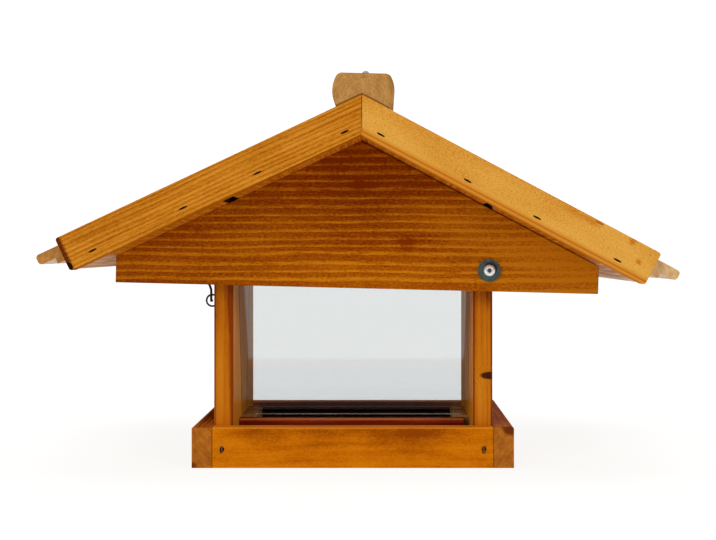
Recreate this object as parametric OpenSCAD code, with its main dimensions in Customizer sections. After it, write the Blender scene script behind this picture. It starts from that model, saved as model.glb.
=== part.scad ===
// Bird feeding house: a stained softwood tray and two upright walls that hold a V-shaped
// seed hopper, under a hinged roof of tongued and grooved planks with a hook-and-eye latch.
// Millimetres. The origin is the middle of the tray's underside; +X is to the right as seen
// from the front, +Y runs towards the back and +Z is up.

/* [Boards] */
// Thickness of the walls, tray boards, gables and bargeboards
board_t = 18; // [12:0.5:22]
// Clear width between the two walls
inner_w = 219; // [160:1:300]
// Depth of the walls from front edge to back edge
wall_d = 204; // [150:1:280]
// Rounding of the walls' upright edges
wall_round = 2.5; // [0.5:0.1:3]

/* [Tray] */
// Height of the tray boards
tray_h = 36.5; // [28:0.5:50]
// Rounding of the tray boards' long edges
tray_round = 1.2; // [0.4:0.1:3]
// Thickness of the floor board
floor_t = 12; // [8:0.5:15]
// Height of the trough rails and blocks above the underside of the house
rail_top = 37.2; // [30:0.1:44]
// Thickness of the two trough rails
rail_t = 10; // [6:0.5:14]
// Distance of a trough rail's outer face from the walls' edge
rail_in = 50; // [40:1:60]
// Length by which the front rail stops short of the right wall
rail_short = 5.5; // [1:0.1:8]
// Width of the blocks at the two ends of the trough
block_w = 14.5; // [10:0.5:24]

/* [Hopper panes] */
// Thickness of the clear panes
pane_t = 3; // [2:0.1:4]
// Distance of a pane's foot from the walls' edge
pane_in = 80; // [70:1:88]
// Lean of the panes from upright
pane_lean = 14.6; // [5:0.1:16]
// Height of a pane along its slope
pane_h = 202; // [120:1:202]
// Depth of the saw-cut grooves that hold the panes
groove_d = 5; // [3:0.1:7]
// Play of a pane in its groove, on each side
groove_play = 0.25; // [0.1:0.05:0.5]

/* [Roof] */
// Pitch of the two slopes
pitch = 26.565; // [22:0.1:32]
// Height of the gables' lower edge above the underside of the house
gable_z = 159.4; // [145:0.1:175]
// Width of the gable boards
gable_w = 435.5; // [360:0.5:460]
// Height of a gable board at its point
gable_h = 133.6; // [120:0.1:150]
// Distance of a gable board's middle from the ridge
gable_shift = -1.8; // [-4:0.1:4]
// Gap between a gable board and the walls' edge
gable_gap = 1.5; // [0.5:0.1:3]
// Plumb gap between a gable board and the planks of the right slope
gable_slack = 0.8; // [0:0.1:1.5]
// Overhang of the planks beyond the gable boards
overhang = 72; // [40:1:100]
// Thickness of the roof planks
plank_t = 28.5; // [22:0.5:32]
// Width of the bargeboards, which hang a little below the planks
barge_w = 30.2; // [24:0.1:34]
// Width that each roof plank covers
plank_w = 142.5; // [130:0.5:150]
// Distance of the roof's middle from the middle of the tray
roof_shift = 5.9; // [0:0.1:7]
// Angle by which the closed roof leans on the hinge
roof_tilt = 1.4; // [0.5:0.05:2]

/* [Tongue and groove] */
// Depth of the tongue's upper face below the plank's upper face
tongue_top = 4.5; // [3:0.1:6]
// Thickness of the long tongue
tongue_t = 9; // [6:0.1:10]
// Length of the long tongue
tongue_l = 25; // [12:0.5:28]
// Thickness of the short step under the tongue
step_t = 5.2; // [3:0.1:6]
// Length of the short step
step_l = 10; // [4:0.5:11]
// Play around the tongue in its groove
tongue_play = 0.3; // [0.1:0.05:0.6]
// Size of the bevels that make the V along a joint's upper face
v_bevel = 3.5; // [1:0.1:4]
// Size of the bevels that make the V along a joint's underside
v_under = 5; // [2:0.1:6.5]

/* [Ridge log] */
// Diameter of the half-round log before its top is planed
log_d = 52.5; // [44:0.5:60]
// Distance of the log's centre from the ridge
log_shift = 1.2; // [0:0.1:4]
// Height of the log's centre above the roof's point
log_up = 2.9; // [0:0.1:6]
// Height of the planed top above the roof's point
log_flat = 17.9; // [14:0.1:19]
// Rounding where the planed top meets the log's sides
log_round = 6; // [2:0.1:8]

/* [Hinge] */
// Diameter of the hinge screws
screw_d = 4; // [3:0.1:5]
// Play of a screw in its gable board, all round
hinge_play = 0.05; // [0.02:0.01:0.1]
// Distance of a hinge screw from the right wall's outer face
hinge_in = 4.5; // [4.2:0.1:9]
// Height of a hinge screw above the gable's lower edge
hinge_up = 19; // [14:0.1:30]
// Depth of a hinge screw in the wall
screw_bite = 26; // [15:1:40]
// Diameter of the screw's pan head
head_d = 10.4; // [8:0.1:12]
// Height of the screw's pan head
head_h = 3.4; // [2:0.1:4]
// Diameter of the washer under the head
washer_d = 20.5; // [14:0.1:26]
// Thickness of the washer
washer_t = 1.5; // [1:0.1:2.5]
// Clear gap between the washer and the gable board
washer_gap = 0.3; // [0.2:0.05:0.6]

/* [Latch] */
// Height of the wall eye's ring above the underside of the house
eye_z = 147; // [120:1:152]
// Distance of the ring's centre from the wall
eye_out = 13.4; // [10:0.1:16]
// Outer diameter of the wall eye's ring
eye_d = 13.2; // [11:0.1:14]
// Outer diameter of the roof eye's ring, small enough for the hook's loop to swing in it
roof_eye_d = 12.2; // [11:0.1:12.8]
// Diameter of the eyes' wire
eye_wire = 1.9; // [1.5:0.1:2.2]
// Depth of the eyes' threads in the wood
eye_bite = 11; // [6:0.5:14]
// Height of the hook's jog above the wall eye
jog_up = 18; // [14:0.5:24]
// Height that the jog takes up
jog_h = 7; // [5:0.5:9]
// Distance of the hook's hanging point from the wall
hook_out = 16; // [14:0.1:20]
// Diameter of the hook's wire
hook_wire = 2.4; // [1.6:0.1:2.6]
// Radius of the hook's upper loop, to the middle of its wire
loop_r = 4.2; // [3.8:0.1:5]
// Length of the hook's bent tip
tip_l = 8; // [6:0.5:10]
// Gap between the hanging hook's tip and the wall eye
tip_gap = 0.6; // [0.3:0.1:2]

/* [Hanging eye] */
// Outer diameter of the hanging eye's ring
hang_d = 19; // [14:0.5:24]
// Diameter of the hanging eye's wire
hang_wire = 3; // [2:0.1:4]
// Height of the ring's top above the log
hang_h = 27.7; // [24:0.1:32]
// Turn of the ring from facing front
hang_turn = 60; // [0:5:90]
// Depth of the hanging eye's thread in the log
hang_bite = 20; // [10:1:24]

/* [Staples] */
// Length of a staple's crown
crown_l = 6.6; // [5:0.1:8]
// Thickness of the staple wire
staple_wire = 1.2; // [0.8:0.1:1.5]
// Depth of the staple legs in the wood
staple_leg = 30; // [22:1:34]
// Depth by which a crown is driven below the wood's face
crown_sunk = 0.8; // [0.3:0.1:1.5]
// Distance of the bargeboard staples from the board's upper edge
staple_down = 22.5; // [8:0.5:24]
// Distance of the left bargeboards' first staple from the ridge
left_1 = 26.5; // [22:0.5:40]
// Distance of the left bargeboards' second staple from the ridge
left_2 = 107.5; // [90:0.5:118]
// Distance of the left bargeboards' third staple from the ridge
left_3 = 176.5; // [155:0.5:190]
// Distance of the left bargeboards' fourth staple from the ridge
left_4 = 260.5; // [235:0.5:262]
// Distance of the right bargeboards' first staple from the ridge
right_1 = 30; // [22:0.5:40]
// Distance of the right bargeboards' second staple from the ridge
right_2 = 112.5; // [90:0.5:118]
// Distance of the right bargeboards' third staple from the ridge
right_3 = 178.5; // [155:0.5:190]
// Distance of the right bargeboards' fourth staple from the ridge
right_4 = 255; // [235:0.5:262]
// Height of the tray staples above the underside of the house
tray_staple_z = 16.6; // [14:0.1:22]

/* [Hidden] */
$fn = 48;

// Faces that only touch keep this much air, so that no two pieces share wood.
touch = 0.05;
// The roof lies this far above the walls' inner edges.
seat_gap = 0.3;
// Bevel sawn on the walls' tops.
wall_bevel = 30;
// Cuts run past the wood by this much.
past = 1;

wall_x = inner_w / 2;
outer_x = wall_x + board_t;
wall_y = wall_d / 2;
tray_y = wall_y + board_t;

// The roof is drawn level, with its middle at x = 0 and the gables' lower edge at z = 0,
// and is then turned by its tilt about the hinge screws.
hinge_x = outer_x - hinge_in;
hinge_z = gable_z + hinge_up;
hinge_off = hinge_x - roof_shift;
peak_z = gable_h + plank_t / cos(pitch);
slope_l = 2 * plank_w;
gable_in = wall_y + gable_gap;
gable_out = gable_in + board_t;
plank_y = gable_out + overhang;
roof_y = plank_y + board_t;

// The planks' underside where the slopes meet, after the tilt.
apex_x = hinge_x - hinge_off * cos(roof_tilt) + (gable_h - hinge_up) * sin(roof_tilt);
apex_z = hinge_z + hinge_off * sin(roof_tilt) + (gable_h - hinge_up) * cos(roof_tilt);
function under_left(x) = apex_z - (apex_x - x) * tan(pitch - roof_tilt);
function under_right(x) = apex_z - (x - apex_x) * tan(pitch + roof_tilt);
wall_top = min(under_left(-wall_x), under_right(wall_x)) - seat_gap;

pane_y = wall_y - pane_in;
pane_w = inner_w + 2 * (groove_d - groove_play);
rail_y = wall_y - rail_in;

// The hook hangs from a ring screwed upright into the roof planks.
hook_x = -outer_x - hook_out;
ring_x = -outer_x - eye_out;
ring_r = (roof_eye_d - eye_wire) / 2;
ring_lift = 1;
roof_ring_z = under_left(hook_x) - ring_lift - roof_eye_d / 2;
hook_z = roof_ring_z - ring_r;
hook_y = -(eye_wire / 2 + tip_gap + tip_l);
loop_up = eye_wire / 2 + hook_wire / 2 + 0.35;
loop_z = hook_z + loop_up - loop_r;

stain = [0.72, 0.38, 0.11];
dark_stain = [0.56, 0.25, 0.07];
pale_wood = [0.76, 0.56, 0.33];
steel = [0.55, 0.57, 0.58];
dark_steel = [0.2, 0.17, 0.14];
clear = [0.85, 0.92, 0.95, 0.4];

// Extrudes a drawing in X and Z from y0 back to y1.
module between(y0, y1) {
    translate([0, y1, 0])
        rotate([90, 0, 0])
            linear_extrude(y1 - y0)
                children();
}

// Places level roof pieces at their tilted rest.
module on_roof() {
    translate([hinge_x, 0, hinge_z])
        rotate([0, roof_tilt, 0])
            translate([-hinge_off, 0, -hinge_up])
                children();
}

// Places pieces on a slope: x runs down the slope from the ridge and z is square to it.
module on_slope(side) {
    on_roof()
        mirror([side < 0 ? 1 : 0, 0, 0])
            translate([0, 0, peak_z])
                rotate([0, pitch, 0])
                    children();
}

module at_both_ends() {
    children();
    mirror([0, 1, 0])
        children();
}

module rounded_rectangle(w, h, r) {
    translate([r, 0])
        square([w - 2 * r, h]);
    translate([0, r])
        square([w, h - 2 * r]);
    for (x = [r, w - r], y = [r, h - r])
        translate([x, y])
            circle(r);
}

// A wire between two points, with round ends.
module wire(a, b, d) {
    v = b - a;
    l = norm(v);
    translate(a) {
        sphere(d = d);
        rotate([0, acos(v[2] / l), atan2(v[1], v[0])])
            cylinder(d = d, h = l);
    }
    translate(b)
        sphere(d = d);
}

// A screw eye: its ring stands in the plane of X and Z above a shank along Z.
// The ring's centre is at the origin, and the thread ends in a point.
module screw_eye(d, w, reach, bite) {
    rotate([90, 0, 0])
        rotate_extrude()
            translate([(d - w) / 2, 0])
                circle(d = w);
    translate([0, 0, -reach - bite])
        rotate_extrude()
            polygon([
                [0, 0], [w / 2, 2 * w], [w / 2, bite + reach - (d - w) / 2],
                [0, bite + reach - (d - w) / 2]
            ]);
}

// A staple with its crown along X, its legs along +Y and the wood's face at y = 0.
module staple(play = 0) {
    w = staple_wire + 2 * play;
    reach = crown_l / 2 + play;
    translate([-reach, crown_sunk - play, -w / 2])
        cube([2 * reach, w, w]);
    for (side = [-1, 1])
        translate([side * (crown_l - staple_wire) / 2 - w / 2, crown_sunk, -w / 2])
            cube([w, staple_leg - crown_sunk + play, w]);
}

// The slot that a driven staple leaves in the wood.
module staple_slot() {
    staple(touch);
    translate([-crown_l / 2 - 2 * touch, -past, -staple_wire / 2 - 2 * touch])
        cube([crown_l + 4 * touch, past + crown_sunk + touch, staple_wire + 4 * touch]);
}

// Four staples along each bargeboard.
module at_barge_staples(side) {
    stations = side < 0 ? [left_1, left_2, left_3, left_4] : [right_1, right_2, right_3, right_4];
    on_slope(side)
        for (u = stations)
            translate([u, -roof_y, -staple_down])
                children();
}

// Staples of the tray: through the front and back boards into the walls' edges.
module at_end_staples() {
    at_both_ends()
        for (side = [-1, 1])
            translate([side * (wall_x + board_t / 2), -tray_y, tray_staple_z])
                rotate([0, 90, 0])
                    children();
}

// Staples of the tray: through the side boards into the walls' faces.
module at_side_staples() {
    for (side = [-1, 1], y = [-wall_y * 0.75, wall_y * 0.75])
        translate([side * (outer_x + board_t), y, tray_staple_z])
            rotate([0, 0, side * 90])
                rotate([0, 90, 0])
                    children();
}

// The front pane, leaning forward on the trough blocks, or with play, its groove.
module pane_slab(x0, x1, play = 0, extra = 0) {
    translate([x0, -pane_y, rail_top + touch])
        rotate([90, 0, 90])
            linear_extrude(x1 - x0)
                rotate(pane_lean)
                    translate([-play, -play])
                        square([pane_t + 2 * play, pane_h + play + extra]);
}

module side_wall(side) {
    difference() {
        translate([side < 0 ? -outer_x : wall_x, -wall_y, 0])
            linear_extrude(wall_top)
                rounded_rectangle(board_t, wall_d, wall_round);
        translate([side * wall_x, 0, wall_top])
            rotate([0, side * wall_bevel, 0])
                translate([-2 * board_t, -wall_y - past, 0])
                    cube([4 * board_t, wall_d + 2 * past, 2 * board_t]);
        at_both_ends()
            pane_slab(
                side < 0 ? -wall_x - groove_d : wall_x - past,
                side < 0 ? -wall_x + past : wall_x + groove_d,
                groove_play, pane_h
            );
        at_end_staples()
            staple_slot();
        at_side_staples()
            staple_slot();
        if (side > 0)
            hinge_shanks(touch);
        if (side < 0)
            eye_in_wall(touch);
    }
}

module side_wall_left() {
    color(stain)
        side_wall(-1);
}

module side_wall_right() {
    color(stain)
        side_wall(1);
}

// A tray board along X with eased long edges and a flat sole.
module tray_board(l) {
    translate([-l / 2, 0, 0])
        rotate([90, 0, 90])
            linear_extrude(l)
                difference() {
                    translate([0, -tray_round])
                        rounded_rectangle(board_t, tray_h + tray_round, tray_round);
                    translate([-past, -2 * tray_round])
                        square([board_t + 2 * past, 2 * tray_round]);
                }
}

module tray_end_board() {
    difference() {
        translate([0, -tray_y, 0])
            tray_board(2 * outer_x);
        at_end_staples()
            staple_slot();
    }
}

module tray_front_board() {
    color(stain)
        tray_end_board();
}

module tray_back_board() {
    color(stain)
        mirror([0, 1, 0])
            tray_end_board();
}

module tray_side_board(side) {
    difference() {
        translate([side * outer_x, 0, 0])
            rotate([0, 0, -side * 90])
                tray_board(2 * tray_y);
        at_side_staples()
            staple_slot();
    }
}

module tray_side_board_left() {
    color(dark_stain)
        tray_side_board(-1);
}

module tray_side_board_right() {
    color(dark_stain)
        tray_side_board(1);
}

module floor_board() {
    color(dark_stain)
        translate([-wall_x, -wall_y, 0])
            cube([inner_w, wall_d, floor_t]);
}

module trough_rail(short) {
    translate([-wall_x, -rail_y, floor_t])
        cube([inner_w - short, rail_t, rail_top - floor_t]);
}

module trough_rail_front() {
    color(dark_stain)
        trough_rail(rail_short);
}

module trough_rail_back() {
    color(dark_stain)
        mirror([0, 1, 0])
            trough_rail(0);
}

module trough_block(side) {
    translate([side < 0 ? -wall_x : wall_x - block_w, -rail_y + rail_t, floor_t])
        cube([block_w, 2 * (rail_y - rail_t), rail_top - floor_t]);
}

module trough_block_left() {
    color(pale_wood)
        trough_block(-1);
}

module trough_block_right() {
    color(pale_wood)
        trough_block(1);
}

module pane_front() {
    color(clear)
        pane_slab(-pane_w / 2, pane_w / 2);
}

module pane_back() {
    color(clear)
        mirror([0, 1, 0])
            pane_slab(-pane_w / 2, pane_w / 2);
}

module tray_staples() {
    color(dark_steel) {
        at_end_staples()
            staple();
        at_side_staples()
            staple();
    }
}

// Shanks of the hinge screws, from the washers into the right wall's edges.
module hinge_shanks(play = 0) {
    at_both_ends()
        translate([hinge_x, -gable_out - washer_gap - washer_t, hinge_z])
            rotate([-90, 0, 0])
                cylinder(
                    d = screw_d + 2 * play,
                    h = washer_t + washer_gap + board_t + gable_gap + screw_bite + play
                );
}

// A pan head with a cross recess, seen from its flat seat at z = 0.
module pan_head() {
    rim = head_h * 0.55;
    recess_w = 1.3;
    recess_l = head_d * 0.52;
    recess_d = head_h * 0.55;
    difference() {
        rotate_extrude() {
            square([head_d / 2, head_h - rim]);
            square([head_d / 2 - rim, head_h]);
            translate([head_d / 2 - rim, head_h - rim])
                intersection() {
                    circle(rim);
                    square(rim);
                }
        }
        for (turn = [0, 90])
            rotate(turn)
                translate([-recess_l / 2, -recess_w / 2, head_h - recess_d])
                    cube([recess_l, recess_w, recess_d + past]);
    }
}

module hinge_screws() {
    color(steel) {
        hinge_shanks();
        at_both_ends()
            translate([hinge_x, -gable_out - washer_gap - washer_t, hinge_z])
                rotate([90, 0, 0])
                    pan_head();
    }
}

module hinge_washers() {
    color(dark_steel)
        at_both_ends()
            translate([hinge_x, -gable_out - washer_gap, hinge_z])
                rotate([90, 0, 0])
                    difference() {
                        cylinder(d = washer_d, h = washer_t);
                        translate([0, 0, -past])
                            cylinder(d = screw_d + 2 * hinge_play, h = washer_t + 2 * past);
                    }
}

module eye_in_wall(play = 0) {
    translate([ring_x, 0, eye_z])
        rotate([0, -90, 0])
            screw_eye(eye_d + 2 * play, eye_wire + 2 * play, eye_out, eye_bite + play);
}

module latch_eye() {
    color(steel)
        eye_in_wall();
}

module gable() {
    left = gable_shift - gable_w / 2;
    right = gable_shift + gable_w / 2;
    difference() {
        on_roof()
            between(-gable_out, -gable_in)
                polygon([
                    [left, 0], [right, 0], [right, gable_h - gable_slack - right * tan(pitch)],
                    [-gable_slack / tan(pitch) / 2, gable_h - gable_slack / 2],
                    [left, gable_h + left * tan(pitch)]
                ]);
        hinge_shanks(hinge_play);
    }
}

module gable_front() {
    color(dark_stain)
        gable();
}

module gable_back() {
    color(dark_stain)
        mirror([0, 1, 0])
            gable();
}

// A board's plumb cut at the ridge: its lower edge starts this far down the slope.
function plumb(t) = t * tan(pitch);

module bargeboard(side) {
    difference() {
        on_slope(side)
            between(-roof_y, -plank_y)
                polygon([[0, 0], [plumb(barge_w), -barge_w], [slope_l, -barge_w], [slope_l, 0]]);
        at_barge_staples(side)
            staple_slot();
    }
}

module bargeboard_front_left() {
    color(stain)
        bargeboard(-1);
}

module bargeboard_front_right() {
    color(stain)
        bargeboard(1);
}

module bargeboard_back_left() {
    color(stain)
        mirror([0, 1, 0])
            bargeboard(-1);
}

module bargeboard_back_right() {
    color(stain)
        mirror([0, 1, 0])
            bargeboard(1);
}

// The stepped tongue, drawn from the plank's shoulder at x = 0.
module tongue_profile(play = 0) {
    tip = tongue_t * 0.35;
    translate([-past, -tongue_top - tongue_t - play]) {
        square([past + tongue_l + play - tip, tongue_t + 2 * play]);
        translate([0, tip])
            square([past + tongue_l + play, tongue_t + 2 * play - 2 * tip]);
        for (z = [tip, tongue_t + 2 * play - tip])
            translate([past + tongue_l + play - tip, z])
                circle(tip);
    }
    translate([-past, -tongue_top - tongue_t - step_t - play])
        square([past + step_l + play, step_t + past]);
}

// Both planks are bevelled along their joint, on the face and on the underside.
module upper_plank_profile() {
    polygon([
        [0, 0], [plumb(plank_t), -plank_t], [plank_w - v_under, -plank_t],
        [plank_w, v_under - plank_t], [plank_w, -v_bevel], [plank_w - v_bevel, 0]
    ]);
    translate([plank_w, 0])
        tongue_profile();
}

module lower_plank_profile() {
    difference() {
        polygon([
            [plank_w, -v_bevel], [plank_w, v_under - plank_t], [plank_w + v_under, -plank_t],
            [slope_l, -plank_t], [slope_l, 0], [plank_w + v_bevel, 0]
        ]);
        translate([plank_w, 0])
            tongue_profile(tongue_play);
    }
    translate([slope_l, 0])
        tongue_profile();
}

module roof_plank(side, lower) {
    difference() {
        on_slope(side)
            between(-plank_y, plank_y)
                if (lower)
                    lower_plank_profile();
                else
                    upper_plank_profile();
        at_both_ends()
            at_barge_staples(side)
                staple_slot();
        if (!lower)
            eye_in_log(touch);
        if (side < 0)
            eye_in_roof(touch);
    }
}

module roof_plank_upper_left() {
    color(stain)
        roof_plank(-1, false);
}

module roof_plank_upper_right() {
    color(stain)
        roof_plank(1, false);
}

module roof_plank_lower_left() {
    color(stain)
        roof_plank(-1, true);
}

module roof_plank_lower_right() {
    color(stain)
        roof_plank(1, true);
}

// End view of the log: round, planed on top, with a V sawn underneath for the ridge.
module log_profile() {
    r = log_d / 2;
    flat = log_flat - log_up;
    round_z = flat - log_round;
    round_x = sqrt(pow(r - log_round, 2) - round_z * round_z);
    tangent_z = round_z * r / (r - log_round);
    translate([log_shift, log_up])
        difference() {
            intersection() {
                circle(r, $fn = 96);
                union() {
                    translate([-r, -r])
                        square([2 * r, r + tangent_z]);
                    translate([-round_x, 0])
                        square([2 * round_x, flat]);
                    for (side = [-1, 1])
                        translate([side * round_x, round_z])
                            circle(log_round);
                }
            }
            translate([-log_shift, -log_up])
                polygon([[0, 0], [-log_d, -log_d * tan(pitch)], [log_d, -log_d * tan(pitch)]]);
        }
}

module ridge_log() {
    color(pale_wood)
        difference() {
            on_roof()
                translate([0, 0, peak_z])
                    between(-roof_y, roof_y)
                        log_profile();
            eye_in_log(touch);
        }
}

module eye_in_log(play = 0) {
    reach = hang_h - hang_d / 2;
    on_roof()
        translate([0, 0, peak_z + log_flat + reach])
            rotate(hang_turn)
                screw_eye(hang_d + 2 * play, hang_wire + 2 * play, reach, hang_bite + play);
}

module hanging_eye() {
    color(steel)
        eye_in_log();
}

module bargeboard_staples() {
    color(dark_steel)
        at_both_ends()
            for (side = [-1, 1])
                at_barge_staples(side)
                    staple();
}

module eye_in_roof(play = 0) {
    translate([hook_x, hook_y, roof_ring_z])
        rotate([0, 180, 0])
            screw_eye(
                roof_eye_d + 2 * play, eye_wire + 2 * play,
                ring_lift + roof_eye_d / 2, eye_bite + play
            );
}

module hook_eye() {
    color(steel)
        eye_in_roof();
}

// The hook: a loop through the roof eye, a straight wire, a jog towards the wall and a tip.
module latch_hook() {
    jog_z = eye_z + jog_up;
    color(dark_steel) {
        translate([hook_x, hook_y, loop_z])
            rotate([0, 90, 0])
                rotate_extrude()
                    translate([loop_r, 0])
                        circle(d = hook_wire);
        wire([hook_x, hook_y, loop_z - loop_r], [hook_x, hook_y, jog_z], hook_wire);
        wire([hook_x, hook_y, jog_z], [ring_x, hook_y, jog_z - jog_h], hook_wire);
        wire([ring_x, hook_y, jog_z - jog_h], [ring_x, hook_y, eye_z], hook_wire);
        wire([ring_x, hook_y, eye_z], [ring_x, hook_y + tip_l - hook_wire / 2, eye_z], hook_wire);
    }
}

side_wall_left();
side_wall_right();
tray_front_board();
tray_back_board();
tray_side_board_left();
tray_side_board_right();
floor_board();
trough_rail_front();
trough_rail_back();
trough_block_left();
trough_block_right();
pane_front();
pane_back();
tray_staples();
hinge_screws();
hinge_washers();
latch_eye();
gable_front();
gable_back();
bargeboard_front_left();
bargeboard_front_right();
bargeboard_back_left();
bargeboard_back_right();
roof_plank_upper_left();
roof_plank_upper_right();
roof_plank_lower_left();
roof_plank_lower_right();
ridge_log();
hanging_eye();
bargeboard_staples();
hook_eye();
latch_hook();
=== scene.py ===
import math

import bmesh
import bpy
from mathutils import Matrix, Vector


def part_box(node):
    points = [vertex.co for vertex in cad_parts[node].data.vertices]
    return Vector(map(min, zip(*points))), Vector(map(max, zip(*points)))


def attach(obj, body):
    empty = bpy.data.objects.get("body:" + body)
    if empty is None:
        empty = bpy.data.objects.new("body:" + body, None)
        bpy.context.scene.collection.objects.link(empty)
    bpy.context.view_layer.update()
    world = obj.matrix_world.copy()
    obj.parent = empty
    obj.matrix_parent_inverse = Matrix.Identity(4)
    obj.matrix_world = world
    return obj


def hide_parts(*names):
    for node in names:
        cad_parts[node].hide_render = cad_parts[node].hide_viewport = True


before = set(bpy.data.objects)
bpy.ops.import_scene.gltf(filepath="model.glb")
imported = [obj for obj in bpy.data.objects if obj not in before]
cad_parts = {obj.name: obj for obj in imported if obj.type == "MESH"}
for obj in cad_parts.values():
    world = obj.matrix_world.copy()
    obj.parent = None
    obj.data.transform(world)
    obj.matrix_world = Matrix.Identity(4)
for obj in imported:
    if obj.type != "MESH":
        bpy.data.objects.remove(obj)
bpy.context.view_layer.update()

MM = 0.001


# ---- The view ----
# The photograph looks straight at the gable, level with the hinge screws, through a lens set a
# little off the middle of the frame. Its pixels give the lens and the camera's distance.

PICTURE_W = 716
MIDDLE_X = 358
MIDDLE_Y = 270
AXIS_X = 383.4
AXIS_Y = 248.0
FOCAL_PX = 1453.6
SENSOR_MM = 36
CAMERA_PLACE = (0.0276, -1.432, 0.1986)


def stand(name, data):
    """Puts a new object with this lens, light or mesh in the scene."""
    made = bpy.data.objects.new(name, data)
    bpy.context.scene.collection.objects.link(made)
    return made


lens = bpy.data.cameras.new("gable_view")
lens.sensor_width = SENSOR_MM
lens.lens = FOCAL_PX * SENSOR_MM / PICTURE_W
lens.shift_x = (MIDDLE_X - AXIS_X) / PICTURE_W
lens.shift_y = (AXIS_Y - MIDDLE_Y) / PICTURE_W
camera = stand("gable_view", lens)
camera.location = CAMERA_PLACE
camera.rotation_euler = (math.radians(90), 0, 0)
bpy.context.scene.camera = camera
bpy.context.scene.view_settings.view_transform = "Standard"


# ---- The studio ----
# A white floor, clear from below, with white paper far behind it. Two large soft lamps stand
# in front and one hangs above. The room behind the camera is dimmer than the floor, which the
# panes mirror.

FLOOR_REACH = 20.0
FLOOR_GAP = 0.2 * MM
FLOOR_MATT = (0.82, 0.82, 0.81, 1)
GLOW_WHITE = (1, 0.995, 0.98, 1)
PAPER_WHITE = (1, 1, 1, 1)
FLOOR_GLOW = 0.8
GLOW_REACH = (0.25, 0.8)
PAPER_LIGHT = 1.1
FLOOR_LIGHT = 1.1
ROOM_LIGHT = 0.36
DIM_ROOM = 0.15
DIM_SIDE = (-0.6, 0.2)
LAMP_TARGET = (0, 0, 0.18)
TOP_TARGET = (0, 0, 0.2)


class Socket:
    """One output of a shader node. Sums on it add Math nodes, so a finish reads as a formula."""

    def __init__(self, output):
        self.output = output

    def node(self, kind, settings, values):
        """Adds a node beside this one, with its settings and then its inputs filled in."""
        made = self.output.id_data.nodes.new("ShaderNode" + kind)
        for name, value in settings.items():
            if name == "stops":
                ramp = made.color_ramp
                while len(ramp.elements) < len(value):
                    ramp.elements.new(1)
                for element, (place, colour) in zip(ramp.elements, value):
                    element.position = place
                    element.color = colour
            else:
                setattr(made, name, value)
        fill(made, values)
        return Socket(next(socket for socket in made.outputs if socket.enabled))

    def math(self, operation, *values):
        return self.node("Math", {"operation": operation}, dict(enumerate(values)))

    def __add__(self, other):
        return self.math("ADD", self, other)

    def __sub__(self, other):
        return self.math("SUBTRACT", self, other)

    def __rsub__(self, other):
        return self.math("SUBTRACT", other, self)

    def __mul__(self, other):
        return self.math("MULTIPLY", self, other)

    def __truediv__(self, other):
        return self.math("DIVIDE", self, other)

    def __pow__(self, other):
        return self.math("POWER", self, other)

    def __abs__(self):
        return self.math("ABSOLUTE", self)

    __radd__ = __add__
    __rmul__ = __mul__

    def vector(self, operation, *others):
        return self.node("VectorMath", {"operation": operation}, dict(enumerate((self, *others))))

    def rise(self, low, high):
        """A mask that eases from 0 at low to 1 at high. It falls where low is the larger."""
        return self.node(
            "MapRange", {"interpolation_type": "SMOOTHSTEP"},
            {"Value": self, "From Min": low, "From Max": high},
        )

    def paint(self, low, high):
        """The colour low where this mask is 0, and high where it is 1."""
        return self.node("Mix", {"data_type": "RGBA"}, {"Factor": self, "A": low, "B": high})


def fill(node, values):
    """Sets or links a node's inputs, each found by its name or by its place in the list."""
    inputs = [socket for socket in node.inputs if socket.enabled]
    for key, value in values.items():
        if isinstance(key, int):
            socket = inputs[key]
        else:
            socket = next(socket for socket in inputs if socket.name == key)
        if isinstance(value, Socket):
            node.id_data.links.new(value.output, socket)
        else:
            socket.default_value = value


def source(tree, kind, output):
    """An output of a new node that has no inputs of its own."""
    return Socket(tree.nodes.new("ShaderNode" + kind).outputs[output])


def new_finish(name):
    """A new material, its node tree and its surface shader."""
    finish = bpy.data.materials.new(name)
    finish.use_nodes = True
    return finish, finish.node_tree, finish.node_tree.nodes["Principled BSDF"]


def blend(share, first, second):
    """The first shader where the share is 0, and the second where it is 1."""
    tree = share.output.id_data
    mixed = tree.nodes.new("ShaderNodeMixShader")
    for place, output in enumerate((share.output, first.outputs[0], second.outputs[0])):
        tree.links.new(output, mixed.inputs[place])
    return mixed


def show(tree, shader):
    """Makes a shader the surface of its material."""
    tree.links.new(shader.outputs[0], tree.nodes["Material Output"].inputs["Surface"])


def seen_directly(tree):
    """1 for rays from the camera and for what metal and panes show, 0 for light on surfaces."""
    seen = source(tree, "LightPath", "Is Camera Ray")
    for ray in ("Is Glossy Ray", "Is Transmission Ray"):
        seen = seen.math("MAXIMUM", seen, source(tree, "LightPath", ray))
    return seen


floor_mesh = bpy.data.meshes.new("white_floor")
floor_mesh.from_pydata(
    [
        (x * FLOOR_REACH, y * FLOOR_REACH, -FLOOR_GAP)
        for x, y in ((-1, -1), (1, -1), (1, 1), (-1, 1))
    ],
    [], [(0, 1, 2, 3)],
)
floor = stand("white_floor", floor_mesh)
paper, tree, matt = new_finish("floor_paper")
fill(matt, {"Base Color": FLOOR_MATT, "Roughness": 0.9, "Specular IOR Level": 0.1})
glow = tree.nodes.new("ShaderNodeEmission")
fill(glow, {"Color": GLOW_WHITE, "Strength": FLOOR_LIGHT})
away = source(tree, "TexCoord", "Object").vector("LENGTH")
lit = seen_directly(tree) * (FLOOR_GLOW + (1 - FLOOR_GLOW) * away.rise(*GLOW_REACH))
under = source(tree, "NewGeometry", "Backfacing")
show(tree, blend(under, blend(lit, matt, glow), tree.nodes.new("ShaderNodeBsdfTransparent")))
floor_mesh.materials.append(paper)

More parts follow.
